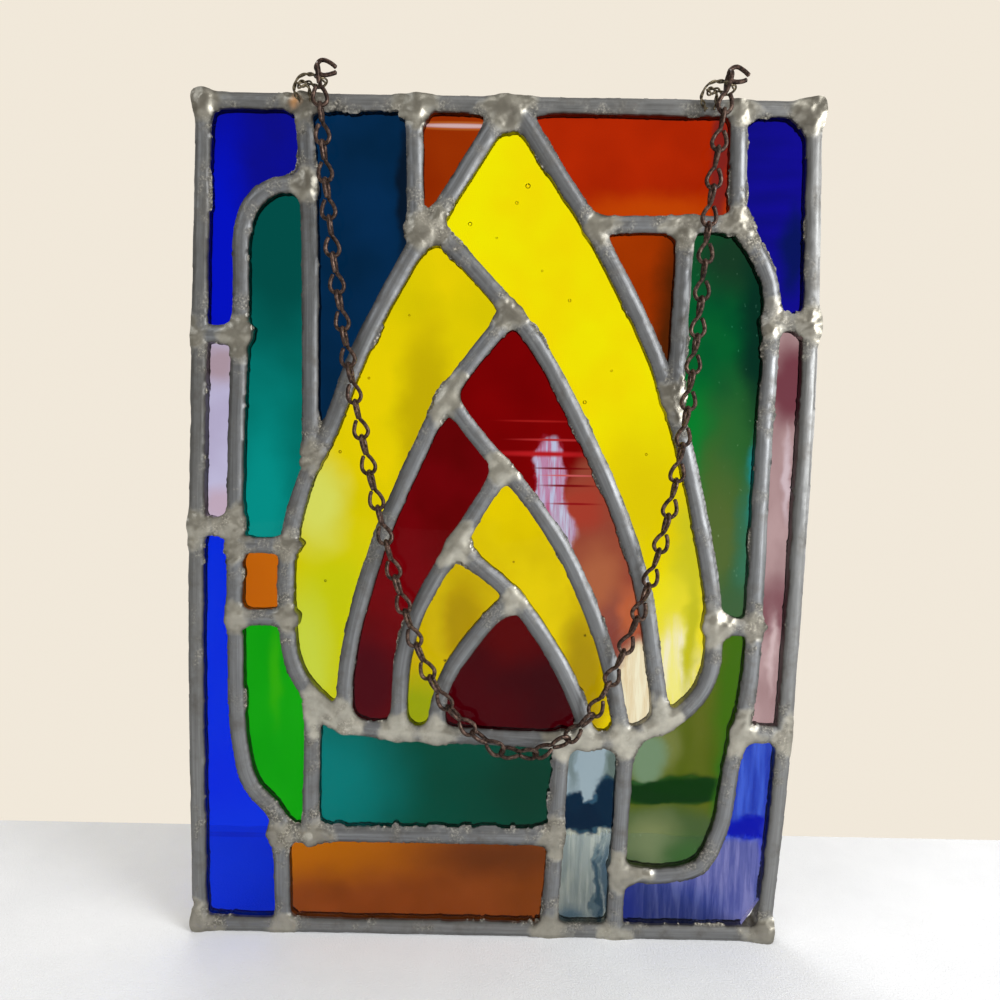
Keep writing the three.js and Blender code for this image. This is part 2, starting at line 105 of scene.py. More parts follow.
# %% Lines of the strips
BORDER_EDGES = {
    "border_top": [(-107.6, 0), (106.2, 0)],
    "border_bottom": [(99.8, -297), (-110.6, -297)],
    "border_right": [(106.2, 0), (108.2, -85), (107, -152), (103.9, -238), (99.8, -297)],
    "border_left": [(-110.6, -297), (-111.5, -190), (-110, -95), (-107.6, 0)],
}
CAME_LINES = dict(
    bud_right=[
        1, -2, 17.7, -26.6, 30.3, -45.3, 55, -93.7, 69.8, -145.2, 75.7, -180.5, 74.2, -200.7, 65.6, -212.8,
        45.4, -223.4,
    ],
    bud_left=[
        -1, -2, -24.2, -39.3, -35.3, -56.4, -50.8, -86.2, -61.5, -113.9, -69.9, -131.6, -75.7, -153.3,
        -76.7, -178.5, -73.2, -200.7, -60.5, -216.8,
    ],
    bud_base=[-60.5, -216.8, -48.4, -220.9, -7.1, -223.2, 25.2, -224.2, 45.4, -223.4],
    flame_outer_right=[
        -26.2, -43.8, -9.8, -59.9, 9.3, -81.6, 25.8, -109.9, 41.9, -144.2, 50.4, -170.4, 55, -195.7,
        58.5, -216.8,
    ],
    flame_outer_left=[
        1.5, -72.8, -19.2, -99.8, -33.3, -128.6, -43.7, -153.8, -52, -182.5, -55.5, -203.7, -55.5, -219.4,
    ],
    flame_middle_right=[
        -20.2, -102.8, -7.7, -118.3, 7.6, -135.4, 21.6, -155.3, 31.6, -175.9, 38.8, -195.7, 44.4, -222.9,
    ],
    flame_middle_left=[-1, -128.1, -25.5, -169.4, -31.8, -183, -35.3, -198.7, -36.3, -221.4],
    flame_inner_right=[
        -16.6, -154.3, -9.8, -160.3, 2.6, -170.8, 14.9, -186.4, 22.9, -199.7, 28.3, -211.6, 31.8, -223.9,
    ],
    flame_inner_left=[4, -174, -3, -179.5, -11.9, -190.6, -18.7, -201.2, -22, -211.8, -22.7, -222.4],
    top_stub=[-33.1, -2, -31.9, -45.3],
    left_upright=[-70.9, -2, -68.8, -45.3, -68.2, -124],
    right_bar=[30.3, -42.3, 81.7, -41.3],
    right_upright=[78, -2, 79, -41.3],
    amber_side=[61.2, -42.3, 59.3, -101.8],
    clear_left=[22.7, -223.9, 19.4, -295],
    clear_right=[45.7, -223.4, 43, -295],
    right_arch=[
        79.7, -41.8, 86.2, -51.2, 91.1, -62, 92, -79.6, 90.8, -120, 90, -165.4, 89, -202.7, 83.7, -233,
        80.2, -256.2, 73.2, -269.8, 60.5, -273.4, 44.4, -272.8,
    ],
    foot_bar=[-79.7, -260.5, 21.2, -259.9],
    left_arch=[
        -70.1, -29.7, -81.7, -31.5, -88.8, -37.2, -92.1, -46.3, -92.5, -67.5, -94.4, -120, -95, -175.5,
        -93.2, -227.9, -89.3, -242.6, -81.2, -252.2, -77.7, -259.7,
    ],
    foot_stub=[-78.5, -260.7, -77.7, -295],
    teal_left=[-67.1, -211.8, -67.8, -260.7],
    left_rung_upper=[-111, -81.6, -91.8, -81.6],
    left_rung_lower=[-112, -149.2, -94.8, -149.2],
    square_top=[-94.8, -155.6, -74.7, -155.6],
    square_bottom=[-94.8, -181.3, -76.7, -181.3],
    right_rung_upper=[91.8, -74.3, 108, -74.6],
    right_rung_middle=[75.7, -181.8, 90.8, -181.8],
    right_rung_lower=[86.8, -220.5, 105.9, -220.5],
)
lead_lines = dict(BORDER_EDGES)
lead_lines.update(("came_" + name, np.reshape(line, (-1, 2))) for name, line in CAME_LINES.items())
print("strips of lead", len(lead_lines))


# %% A smooth line through points
CURVE_STEPS = 60


def smooth_line(points, spacing):
    """Evenly spaced points along the Catmull-Rom curve through the given ones."""
    given = np.array(points, float)
    if len(given) > 2:
        padded = np.vstack([2 * given[0] - given[1], given, 2 * given[-1] - given[-2]])
        t = np.linspace(0, 1, CURVE_STEPS, endpoint=False)[:, None]
        runs = []
        for a, b, c, d in zip(padded, padded[1:], padded[2:], padded[3:]):
            before, here, after = (math.dist(p, q) ** 0.5 for p, q in ((a, b), (b, c), (c, d)))
            leave = ((b - a) / before - (c - a) / (before + here) + (c - b) / here) * here
            arrive = ((c - b) / here - (d - b) / (here + after) + (d - c) / after) * here
            bend = -3 * b + 3 * c - 2 * leave - arrive
            close = 2 * b - 2 * c + leave + arrive
            runs.append(b + leave * t + bend * t**2 + close * t**3)
        given = np.vstack([*runs, given[-1:]])
    travelled = np.concatenate([[0], np.cumsum(np.linalg.norm(np.diff(given, axis=0), axis=1))])
    count = max(2, round(travelled[-1] / spacing) + 1)
    places = np.linspace(0, travelled[-1], count)
    return np.column_stack([np.interp(places, travelled, axis) for axis in given.T])


# %% [markdown]
# ## The lead skin, as a height map
#
# On a real panel the strips, the solder and the cement run into one another. Swept bars would leave a
# hard crease at every joint. A height map does better: lay a fine grid over the panel, ask at every
# grid point how far it is from the middle of the nearest strip, and turn that into the height of a
# round crown. Solder then only has to be added to the heights.

# %% The grid
GRID = 0.55  # millimetres, like all sizes below
MARGIN = 5
lead_corners = np.array([corner for node in lead_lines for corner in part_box(node)]) / MM
low, high = lead_corners.min(0) - MARGIN, lead_corners.max(0) + MARGIN
grid_x, grid_z = (np.arange(low[axis], high[axis], GRID) for axis in (0, 2))
place_x, place_z = np.meshgrid(grid_x, grid_z, indexing="ij")
shape = place_x.shape
print("grid", shape)


def away_from(x, z):
    """How far every grid point is from one place."""
    return np.hypot(place_x - x, place_z - z)



# %% Clouds of soft noise on the grid
frequency_x = np.fft.fftfreq(shape[0], GRID)[:, None]
frequency_z = np.fft.rfftfreq(shape[1], GRID)[None, :]


def blur(field, reach):
    """Softens a field with a bell curve that many millimetres wide."""
    bell = np.exp(-2 * (math.pi * reach) ** 2 * (frequency_x**2 + frequency_z**2))
    return np.fft.irfft2(np.fft.rfft2(field) * bell, s=shape)


def cloud(size):
    """Random hills about that many millimetres across, mostly between -2 and 2."""
    hills = blur(chance.standard_normal(shape), size / 2.5)
    return hills / hills.std()


# %% Distance from every strip
CAME_HALF = 2.85  # half the width of a round strip
BORDER_HALF = 2.8
BORDER_LIP = 0.35  # how much narrower the border is on its inner side
FLARE = 0.9  # about how much wider a strip gets at a soldered end
FLARE_REACH = 9
END_CUT = 0.7  # flattens the ends of a strip
LINE_STEP = 0.5
BATCH = 6000  # grid points handled at once
BIG = 1e3

inside = np.full(shape, -BIG)  # how deep a grid point lies inside its nearest strip
second = np.full(shape, -BIG)  # and inside the next nearest
owner = np.full(shape, -1)  # which strip is nearest
across, along = np.zeros(shape), np.zeros(shape)  # the place on that strip
half_width = np.ones(shape)
from_outside = np.full(shape, BIG)  # how far it is from the outside of the border
ends = []


def right_of(line):
    """The direction to the right of a line, at each of its points."""
    heading = np.gradient(line, axis=0)
    heading /= np.linalg.norm(heading, axis=1)[:, None]
    return np.column_stack([heading[:, 1], -heading[:, 0]])


def lay_strip(number, line, half, flares):
    """Notes how far inside the strip every grid point near it lies."""
    reach = half + FLARE_REACH
    low, high = line.min(0) - reach, line.max(0) + reach
    patch = np.ix_(*((low[i] < axis) & (axis < high[i]) for i, axis in enumerate((grid_x, grid_z))))
    spots = np.column_stack([place_x[patch].ravel(), place_z[patch].ravel()])
    closest = np.empty(len(spots), int)
    for start in range(0, len(spots), BATCH):
        part = spots[start : start + BATCH]
        squares = (line**2).sum(1)[None, :] - 2 * part @ line.T
        closest[start : start + BATCH] = squares.argmin(1)
    offset = spots - line[closest]
    sideways = (offset * right_of(line)[closest]).sum(1)
    at_end = (closest == 0) | (closest == len(line) - 1)
    distance = np.where(at_end, np.linalg.norm(offset, axis=1) + END_CUT, abs(sideways))
    run = closest * np.linalg.norm(line[1] - line[0])
    width = np.full(len(spots), half)
    for growth, gone in zip(flares, (run, run.max() - run)):
        width += growth * FLARE * np.clip(1 - gone / FLARE_REACH, 0, 1) ** 1.5
    fields = (width - distance, width, sideways, run)
    depth, width, sideways, run = (field.reshape(place_x[patch].shape) for field in fields)
    if half == BORDER_HALF:
        depth -= BORDER_LIP * (sideways > 0)
        from_outside[patch] = np.minimum(from_outside[patch], half + sideways)
    wins = depth > inside[patch]
    second[patch] = np.maximum(second[patch], np.where(wins, inside[patch], depth))
    fields, values = (inside, owner, half_width, across, along), (depth, number, width, sideways, run)
    for field, value in zip(fields, values):
        field[patch] = np.where(wins, value, field[patch])


for number, (node, points) in enumerate(lead_lines.items()):
    line = smooth_line(points, LINE_STEP)
    if node in BORDER_EDGES:
        line += right_of(line) * BORDER_HALF
        lay_strip(number, line, BORDER_HALF, (0, 0))
    else:
        lay_strip(number, line, CAME_HALF, chance.uniform(0.5, 1.4, 2))
    ends += [tuple(line[0]), tuple(line[-1])]
print("joints to solder", len(ends))

# %% [markdown]
# ## Solder
#
# A glazier rubs each joint with flux and melts a stick of solder over it. The metal floods a patch as
# big as a fingertip and sets with a crinkled, pale skin. So each joint gets a patch with a ragged edge.
# Inside it the crowns are melted together by blurring their heights, then lumps and wrinkles are added.
# Old flux holds grit, so a gritty ring lies round each patch. Where strips meet at a sharp angle, a web
# of solder fills the gap.

# %% Where the solder lies
SOLDER_PATCH = (6, 10)
PATCH_FADE = 3
RING_WIDTH = 4.5
# Joints inside the flame and along the base of the bud were made more neatly.
FLAME_MIDDLE, FLAME_REACH = (0, -150), 62
solder, crinkled = np.zeros(shape), np.zeros(shape)
ragged = 1.2 * cloud(4.5) + 0.5 * cloud(1.6)
gritty = 0.55 * np.clip(cloud(12) - 0.5, 0, 1)
for x, z in ends:
    patch_size = chance.uniform(*SOLDER_PATCH)
    distance = away_from(x, z) + ragged
    here = np.clip((patch_size - distance) / PATCH_FADE, 0, 1)
    ring = np.clip(1 - abs(distance - patch_size - 1) / RING_WIDTH, 0, 1)
    solder = np.maximum(solder, here)
    neat = math.dist((x, z), FLAME_MIDDLE) < FLAME_REACH or (abs(x) < 75 and -225 < z < -195)
    roughly = 0.25 if neat else chance.uniform(0.5, 1)
    crinkled = np.maximum(crinkled, here * roughly)
    gritty = np.maximum(gritty, ring * roughly)

# %% Lumps and webs
# The corners, and joints that were flooded twice, carry proud lumps: right, up, how wide, how high.
PROUD_LUMPS = [
    (-106.3, -2.2, 5.2, 1.3), (103.4, -3.2, 7.4, 1.3), (98.4, -293.5, 5.4, 1.2), (-108.2, -293.8, 4.6, 0.7),
    (-71.8, -4.5, 5.4, 0.9), (-1.5, -5.5, 6.5, 0.8), (-31.5, -3.5, 4.6, 0.8), (-30.5, -47, 5.5, 0.7),
    (46.5, -273, 4.6, 0.7), (50.5, -272, 3, 0.9), (54.5, -272.4, 2.6, 0.8), (-71, -29.8, 5.6, 0.9),
    (78.5, -41, 5.4, 0.6), (-107.5, -149.5, 5.2, 0.6), (105, -74.5, 5.8, 0.8), (78, -182, 5.4, 0.7),
]
# The webs reach further out than a plain fillet: right, up, how far.
WEBS = [
    (-0.5, -9, 13), (-31, -48, 3.5), (-71, -29, 4), (101, -7, 7), (-102, -7, 4), (37, -188, 3), (69, -180, 3),
]
lump = np.zeros(shape)
for x, z, size, rise in PROUD_LUMPS:
    distance = away_from(x, z) + 0.5 * ragged
    lump = np.maximum(lump, rise * np.clip(1 - (distance / size) ** 4, 0, 1))
lump = blur(lump, 0.8)
solder = np.maximum(solder, np.clip(2.5 * lump, 0, 1))
crinkled = np.maximum(crinkled, np.clip(1.2 * lump, 0, 1) * (away_from(*FLAME_MIDDLE) > FLAME_REACH))
print("share of the grid under solder", round(float(solder.mean()), 3))

# %% The outline of the lead
# A fillet rounds the corner wherever two strips are about equally near.
FILLET = 3.4
fillet_reach = np.full(shape, FILLET)
for x, z, bridge in WEBS:
    fillet_reach += bridge * np.exp(-((away_from(x, z) / (8 + bridge)) ** 2))
fillet = np.clip(fillet_reach - abs(inside - second), 0, None) ** 2 / (4 * fillet_reach)
outline = inside + fillet * (0.35 + 0.65 * solder)
outline += solder * 0.15 + crinkled * 0.3 * cloud(2.6) + 0.35 * lump
outline += 0.09 * cloud(7) + 0.035 * cloud(1.8)
# Along these edges the lead was left torn and gritty: right, up, half the width, half the height.
BURRS = [(-22, -255.5, 48, 2.2), (17.3, -243, 1.8, 13), (-50, -5.8, 13, 1.8), (98.6, -61, 1.8, 14)]
burr = np.zeros(shape)
for x, z, half_x, half_z in BURRS:
    aside = np.maximum(abs(place_x - x) - half_x, abs(place_z - z) - half_z)
    burr = np.maximum(burr, np.clip(1 - aside, 0, 1))
outline += burr * np.clip(0.25 + 1.4 * (ragged - blur(ragged, 1.5)), 0, 1)
from_outside = blur(from_outside.clip(-6, 6), 1.5)
gritty = np.maximum(gritty, 0.7 * burr) * np.clip((from_outside - 0.8) / 1.5, 0, 1)
outline = np.minimum(outline, from_outside + 0.25 * solder + 0.7 * lump + 0.12 * crinkled * cloud(3))

# %% The height of the crowns
# Heights above the middle plane of the panel.
GLASS_FACE = 1.5
FLANGE = 1.95  # the edge of a strip, where it lies on the glass
BORDER_SIDE = 2.3  # the outer edge of the border
CROWN = 3.25
MELT = 1.1  # how far the solder smooths the crowns
ratio = np.clip(abs(across) / half_width, 0, 1)
is_border = (owner >= 0) & (owner < len(BORDER_EDGES))
rim = np.where(is_border & (across < 0), BORDER_SIDE, FLANGE)
round_crown = rim + (CROWN - rim) * (0.45 * np.sqrt(1 - ratio**2) + 0.55 * (1 - ratio**2))
flat_crown = rim + (CROWN - 0.1 - rim) * (1 - ratio**2.8)
crown = np.where(is_border, flat_crown, round_crown)
lead = outline > 0
weight = blur(lead.astype(float), MELT)
melted = blur(np.where(lead, crown, 0), MELT) / np.maximum(weight, 1e-3)


def wrinkles():
    """Sharp creases between soft folds, as on the skin of solder."""
    return 0.7 - abs(cloud(4)) + 0.4 * (0.8 - abs(cloud(2)))


def face_of_lead(solder_share, lump_share):
    """The height of the lead, with more or less solder on it."""
    lumps = 0.12 + 0.16 * cloud(6) + crinkled * (0.14 * wrinkles() + 0.05 * cloud(1.3))
    height = crown + 0.05 * cloud(6) + 0.015 * cloud(1.5)
    height += solder_share * solder * (melted + lumps - height)
    return height + lump_share * lump + 0.05 * gritty * cloud(1.1)


front = face_of_lead(1, 1)
back = face_of_lead(0.75, 0.35)
print("highest crown in mm", round(float(front[lead].max()), 2))

# %% [markdown]
# ## Cement
#
# Putty is pushed under the lead to stop draughts and rattles, and what squeezes out sets as a thin,
# crumbly fringe on the glass. It uses the same grid, a little past the edge of the lead, and is only
# just higher than the glass.

# %% The fringe of cement
fringe = 0.7 * np.clip(cloud(10) - 0.8, 0, 1.2) + 0.16 * cloud(1.3) - 0.1
covered = outline + np.clip(fringe, 0, 1) * (from_outside > 1)
crumbs = np.clip(0.45 + 0.8 * cloud(2.2), 0, 1)
cement = np.where(lead, 0.9 * gritty * crumbs * (1 - np.clip(lump, 0, 1)), covered > 0)
grit = GLASS_FACE + 0.12 + 0.16 * abs(cloud(0.8))
front = np.where(lead, front, grit)
back = np.where(lead, back, grit)

# %% [markdown]
# ## From height map to closed skins
#
# Grid squares that the lead or the cement covers become faces, front and back. The stepped edge of the
# squares is pulled onto the true outline, so curves come out smooth. Each strip keeps its own squares
# and gets walls all round, so it is one closed piece. Every corner of a face is told which way the skin
# faces there: by the slope of the height map, or on the walls straight away from the lead.

# %% Pull the edge of the squares onto the outline
solid = covered > 0
square = solid[:-1, :-1] & solid[1:, :-1] & solid[1:, 1:] & solid[:-1, 1:]
touching = np.zeros(shape, int)
for shift_x in (0, 1):
    for shift_z in (0, 1):
        touching[shift_x : shape[0] - 1 + shift_x, shift_z : shape[1] - 1 + shift_z] += square
on_edge = (touching > 0) & (touching < 4)
slope_x, slope_z = np.gradient(blur(covered.clip(-3, 3), 0.35), GRID)
steepness = np.maximum(np.hypot(slope_x, slope_z), 0.3)
pull = np.where(on_edge, np.clip(covered.clip(-3, 3) / steepness, 0, 1.5 * GRID), 0)
skin_x = place_x - pull * slope_x / steepness
skin_z = place_z - pull * slope_z / steepness
# The painted shade and dirt at the foot of a strip follow this: 0 at the edge, 1 from 3 mm inwards.
from_edge = np.where(on_edge, np.where(from_outside < 1, 0.6, 0), np.clip(outline, 0, 3)) / 3
from_edge = np.maximum(from_edge, 0.4 * burr)
out_x, out_z = blur(-slope_x, 0.8), blur(-slope_z, 0.8)
outwards = np.stack([out_x, np.zeros(shape), out_z], axis=-1)
outwards /= np.maximum(np.hypot(out_x, out_z), 1e-6)[..., None]


def leaning(height):
    """Which way the skin faces at every grid point."""
    weight = np.maximum(blur(solid.astype(float), 0.4), 1e-3)
    filled = np.where(solid, height, blur(np.where(solid, height, 0), 0.4) / weight)
    lean_x, lean_z = np.gradient(filled, GRID)
    facing = np.stack([lean_x, np.ones(shape), lean_z], axis=-1)
    return facing / np.linalg.norm(facing, axis=-1)[..., None]


# The front faces away from +Y, so its height counts towards -Y.
front_facing = leaning(front) * (-1, -1, -1)
back_facing = leaning(back) * (-1, 1, -1)

# %% Rust that ran from the wire loops
RUST_SPOTS = [(-73, -3.2, 2.6), (71.5, -8, 1.5)]
rust = np.zeros(shape)
for x, z, size in RUST_SPOTS:
    distance = away_from(x, z) + 0.4 * ragged
    rust = np.maximum(rust, np.clip(1.3 - distance / size, 0, 1))

# %% The numbers that the skin carries
SKIN_NUMBERS = dict(solder=solder, cement=cement, rust=rust, crinkled=crinkled, from_edge=from_edge)
STRIPS_APART = 300  # gives each strip scratches of its own
strip_place = np.stack([along + STRIPS_APART * owner, across, np.zeros(shape)], axis=-1)


# %% One closed skin
def skin_piece(number, node, finish):
    """The front, back and walls of one strip, as a single closed mesh."""
    cells = np.argwhere(square & (owner[:-1, :-1] == number))
    corners = cells[:, None, :] + np.array([(0, 0), (1, 0), (1, 1), (0, 1)])
    flat = corners[..., 0] * shape[1] + corners[..., 1]
    used, flat = np.unique(flat, return_inverse=True)
    flat = flat.reshape(-1, 4)
    count = len(used)
    x, z = skin_x.ravel()[used], skin_z.ravel()[used]
    points = np.concatenate([
        np.column_stack([x, -front.ravel()[used], z]),
        np.column_stack([x, back.ravel()[used], z]),
    ])
    starts, stops = flat.ravel(), np.roll(flat, -1, axis=1).ravel()
    there = set(zip(starts.tolist(), stops.tolist()))
    rim_edges = np.array([edge for edge in there if edge[::-1] not in there])
    a, b = rim_edges[:, 0], rim_edges[:, 1]
    walls = np.column_stack([a, a + count, b + count, b])
    faces = np.concatenate([flat, flat[:, ::-1] + count, walls])
    piece = make_piece("skin_" + node, points, faces.tolist(), finish, node)
    facing = [
        field.reshape(-1, 3)[used][corner.ravel() % count]
        for field, corner in ((front_facing, flat), (back_facing, flat[:, ::-1]), (outwards, walls))
    ]
    piece.data.normals_split_custom_set(np.concatenate(facing).tolist())
    for name, field in SKIN_NUMBERS.items():
        give_numbers(piece, name, np.tile(field.ravel()[used], 2))
    give_numbers(piece, "strip_place", np.tile(strip_place.reshape(-1, 3)[used], (2, 1)))
    return len(faces)


# %% [markdown]
# ## Lead, solder and cement as one finish
#
# Old lead is a dull grey metal with fine scratches that run along the strip, and painted shade with some dirt
# lies at the foot of each strip. Solder is paler and creamy, and darker in its folds. Cement is dark, crumbly
# and not a metal at all. The skin carries a number for each at every point, so one material can fade from
# one to the next.


# %% Helpers for materials
def new_finish(name):
    finish = bpy.data.materials.new(name)
    finish.use_nodes = True
    return finish, finish.node_tree, finish.node_tree.nodes["Principled BSDF"]


def feed(node, **inputs):
    """Links or sets inputs by name. _0 is the first one, where some share a name."""
    for name, value in inputs.items():
        socket = node.inputs[int(name[1:]) if name[0] == "_" else name.replace("_", " ")]
        if isinstance(value, bpy.types.NodeSocket):
            node.id_data.links.new(value, socket)
        elif socket.type == "RGBA":
            socket.default_value = opaque(value)
        else:
            socket.default_value = value
    return node


def opaque(color):
    """A colour, or one number as a grey, with full alpha."""
    return (*np.broadcast_to(color, 3).tolist(), 1)


def add_node(tree, kind, **inputs):
    return feed(tree.nodes.new(kind), **inputs)


def number_on_skin(tree, name, output="Fac"):
    node = tree.nodes.new("ShaderNodeAttribute")
    node.attribute_name = name
    return node.outputs[output]


def noise(tree, scale, detail=4, roughness=0.6, where=None, stretch=(1, 1, 1)):
    """Noise in object space, with features about 1 / scale metres across."""
    where = where or tree.nodes.new("ShaderNodeTexCoord").outputs["Object"]
    placed = add_node(tree, "ShaderNodeMapping", Vector=where, Scale=stretch).outputs[0]
    kind = "ShaderNodeTexNoise"
    return add_node(tree, kind, Vector=placed, Scale=scale, Detail=detail, Roughness=roughness).outputs["Fac"]


def ramp(tree, value, *stops):
    """Turns a number into a colour or another number."""
    node = add_node(tree, "ShaderNodeValToRGB", Fac=value)
    elements = node.color_ramp.elements
    while len(elements) < len(stops):
        elements.new(0.5)
    for element, (place, color) in zip(elements, stops):
        element.position, element.color = place, opaque(color)
    return node.outputs[0]


def mix(tree, share, first, second):
    """Between two colours, or two greys, by a share."""
    node = tree.nodes.new("ShaderNodeMix")
    node.data_type = "RGBA"
    return feed(node, _0=share, _6=first, _7=second).outputs[2]


def math_node(tree, operation, first, second, kind="ShaderNodeMath"):
    node = add_node(tree, kind, _0=first, _1=second)
    node.operation = operation
    return node.outputs[0]


def vector_math(*inputs):
    return math_node(*inputs, kind="ShaderNodeVectorMath")


def bump(tree, height, depth, strength=1, **more):
    node = add_node(tree, "ShaderNodeBump", Height=height, Distance=depth, Strength=strength, **more)
    return node.outputs[0]


# %% The finish of the skin
def lead_finish(name, bright, dark):
    finish, tree, shader = new_finish(name)
    solder_here, cement_here, rust_here, crinkled_here, from_edge_here = (
        number_on_skin(tree, name) for name in SKIN_NUMBERS)
    scratches = noise(tree, 1, 3, 0.6, number_on_skin(tree, "strip_place", "Vector"), (0.03, 1.2, 1))
    patina = noise(tree, 160, 5, 0.6)
    grain = noise(tree, 1250, 3, 0.65)
    folds = noise(tree, 190, 3.5, 0.55)
    folds.node.noise_type = "RIDGED_MULTIFRACTAL"
    # Scratched lead with darker patina.
    lead_color = mix(tree, ramp(tree, scratches, (0.3, 0), (0.72, 1)), dark, bright)
    lead_color = mix(tree, ramp(tree, patina, (0.5, 0), (0.72, 0.7)), lead_color, (0.12, 0.112, 0.1))
    # Creamy solder, darker in its creases.
    solder_color = ramp(tree, patina, (0.32, (0.36, 0.35, 0.3)), (0.65, (0.56, 0.54, 0.46)))
    creases = math_node(tree, "MULTIPLY", crinkled_here, ramp(tree, folds, (0.25, 0.7), (0.6, 0)))
    solder_color = mix(tree, creases, solder_color, (0.17, 0.155, 0.125))
    color = mix(tree, solder_here, lead_color, solder_color)
    # Painted shade with some dirt at the foot of the strips, where they meet the glass; cement with pale sand
    # in it, and rust.
    dirt_and_shade = ramp(tree, from_edge_here, (0, 1), (0.2, 0.35), (0.5, 0))
    dirt_and_shade = math_node(tree, "MULTIPLY", dirt_and_shade, ramp(tree, patina, (0.3, 1), (0.75, 0.45)))
    color = mix(tree, dirt_and_shade, color, (0.035, 0.03, 0.024))
    sand = ((0.4, (0.035, 0.032, 0.025)), (0.53, (0.13, 0.122, 0.1)), (0.66, (0.42, 0.4, 0.34)))
    color = mix(tree, cement_here, color, ramp(tree, grain, *sand))
    color = mix(tree, math_node(tree, "MULTIPLY", rust_here, 0.85), color, (0.62, 0.27, 0.06))
    metal = math_node(tree, "SUBTRACT", 0.75, math_node(tree, "MULTIPLY", rust_here, 0.6))
    metal = math_node(tree, "SUBTRACT", metal, math_node(tree, "MULTIPLY", cement_here, 0.75))
    dullness = mix(tree, solder_here, ramp(tree, patina, (0.35, 0.4), (0.7, 0.54)), 0.33)
    dullness = mix(tree, cement_here, dullness, 0.9)
    relief = math_node(tree, "ADD", math_node(tree, "MULTIPLY", crinkled_here, 0.85), 0.05)
    normal = bump(tree, grain, 0.06 * MM, 0.3, Normal=bump(tree, folds, 0.4 * MM, relief))
    feed(shader, Base_Color=color, Metallic=metal, Roughness=dullness, Normal=normal)
    return finish


# %% Dress every strip
came_lead = lead_finish("came_lead", (0.235, 0.245, 0.255), (0.145, 0.15, 0.155))
border_lead = lead_finish("border_lead", (0.235, 0.24, 0.24), (0.15, 0.152, 0.15))

skin_faces = 0
for number, node in enumerate(lead_lines):
    skin_faces += skin_piece(number, node, border_lead if node in BORDER_EDGES else came_lead)
print("faces in the lead skins", skin_faces)

# %% [markdown]
# ## Glass
#
# Hand-rolled glass is never quite flat, so what is seen through it ripples. Each pane takes its outline
# from its solid, which reaches into the channels of the lead, and gets a fine mesh whose two faces rise
# and fall a few hundredths of a millimetre. The yellow sheets also hold air bubbles, hollows in the mesh
# that bend the light. The colour is in the glass: a see-through shader with streaks and clouds.


# %% The outline of a pane
def outline_of(node):
    """The outline of a node's front face, as a loop of (right, up) points in millimetres."""
    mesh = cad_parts[node].data
    points = np.array([v.co for v in mesh.vertices]) / MM
    level = points[:, 1].min()
    names = {}
    spot = [names.setdefault((round(x, 3), round(z, 3)), len(names)) for x, _, z in points]
    edges = set()
    for face in mesh.polygons:
        if all(abs(points[v, 1] - level) < 0.01 for v in face.vertices):
            loop = [spot[v] for v in face.vertices]
            edges |= set(zip(loop, loop[1:] + loop[:1]))
    follow = {a: b for a, b in edges if (b, a) not in edges}
    places = list(names)
    loop = [next(iter(follow))]
    while follow[loop[-1]] != loop[0]:
        loop.append(follow[loop[-1]])
    return [places[i] for i in loop]


# %% A wavy pane
PANE_MESH = 1.6
RIM_CLEARANCE = 0.8  # squared
SWELLS = 7
SWELL, SWELL_LENGTH = 0.035 / 2.6, 22  # of one swell
BUBBLE_DEPTH = -0.6
CREASE = math.radians(40)


def waves(x, z, seed):
    """Long soft swells that cross each other, like those of rolled glass."""
    local = np.random.default_rng(seed)
    total = np.zeros(len(x))
    for _ in range(SWELLS):
        heading, phase = local.uniform(0, math.tau, 2)
        stretch = SWELL_LENGTH * local.uniform(0.6, 1.8)
        total += np.sin((x * math.cos(heading) + z * math.sin(heading)) * math.tau / stretch + phase)
    return SWELL * total


def bubble(x, z, size):
    """A ball of air in the glass: the same wall, facing inwards."""
    mesh = bmesh.new()
    bmesh.ops.create_icosphere(mesh, subdivisions=2, radius=size)
    points = np.array([v.co for v in mesh.verts]) * (1, 0.7, 1) + (x, BUBBLE_DEPTH, z)
    faces = [tuple(v.index for v in reversed(face.verts)) for face in mesh.faces]
    mesh.free()
    return points, faces


